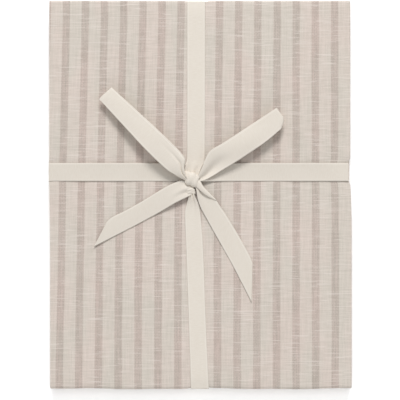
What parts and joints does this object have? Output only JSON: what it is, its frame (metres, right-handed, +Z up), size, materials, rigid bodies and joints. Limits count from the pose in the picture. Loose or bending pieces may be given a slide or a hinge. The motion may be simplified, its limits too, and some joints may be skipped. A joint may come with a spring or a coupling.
{
  "type": "folded baby wrap tied with ribbon",
  "caption": "Striped woven baby wrap carrier folded into a flat parcel and tied crosswise with cotton tape in a bow; unfolds to wrap and carry a baby.",
  "frame": {"origin": "on the surface the parcel lies on, under the middle of the folded cloth", "axes": "+Z up, +Y along the parcel from the single spine fold to the row of folds, +X across it"},
  "size_m": [0.263, 0.338, 0.0304],
  "materials": {
    "striped_weave": "matte linen-look weave, cream with taupe warp stripes",
    "cotton_tape": "smooth cream cotton tape, matte",
    "sewing_thread": "matte cotton thread",
    "label_tape": "blank woven tape, soft sheen"
  },
  "bodies": {
    "parcel": {"wrap_cloth": "striped_weave", "hem_thread_first": "sewing_thread", "hem_thread_last": "sewing_thread", "care_label": "label_tape", "middle_markers": "label_tape", "tape_across": "cotton_tape", "tape_upper": "cotton_tape", "tape_lower": "cotton_tape", "tape_crossing": "cotton_tape", "half_knot": "cotton_tape", "bow_knot": "cotton_tape"},
    "bow_loop_left": {"bow_loop_left": "cotton_tape"},
    "bow_loop_right": {"bow_loop_right": "cotton_tape"},
    "tail_left": {"tail_left": "cotton_tape"},
    "tail_left_end": {"tail_left_end": "cotton_tape"},
    "tail_right": {"tail_right": "cotton_tape"},
    "tail_right_end": {"tail_right_end": "cotton_tape"}
  },
  "joints": [
    {"name": "bow_loop_left_lift", "type": "hinge", "parent": "parcel", "child": "bow_loop_left", "pos_m": [-0.0125, 0.0195, 0.0212], "axis": [0.6978, 0.7163, 0], "range_deg": [0, 65]},
    {"name": "bow_loop_right_lift", "type": "hinge", "parent": "parcel", "child": "bow_loop_right", "pos_m": [-0.0005, 0.0177, 0.0212], "axis": [0.5676, -0.8233, 0], "range_deg": [0, 65]},
    {"name": "tail_left_lift", "type": "hinge", "parent": "parcel", "child": "tail_left", "pos_m": [-0.0121, 0.00575, 0.0196], "axis": [-0.4656, 0.885, 0], "range_deg": [0, 60]},
    {"name": "tail_left_bend", "type": "hinge", "parent": "tail_left", "child": "tail_left_end", "pos_m": [-0.04845, -0.01337, 0.0185], "axis": [-0.4656, 0.885, 0], "range_deg": [0, 45]},
    {"name": "tail_right_lift", "type": "hinge", "parent": "parcel", "child": "tail_right", "pos_m": [-0.0006, 0.0065, 0.0196], "axis": [-0.8773, -0.4799, 0], "range_deg": [0, 60]},
    {"name": "tail_right_bend", "type": "hinge", "parent": "tail_right", "child": "tail_right_end", "pos_m": [0.02235, -0.03545, 0.0185], "axis": [-0.8773, -0.4799, 0], "range_deg": [0, 45]}
  ]
}
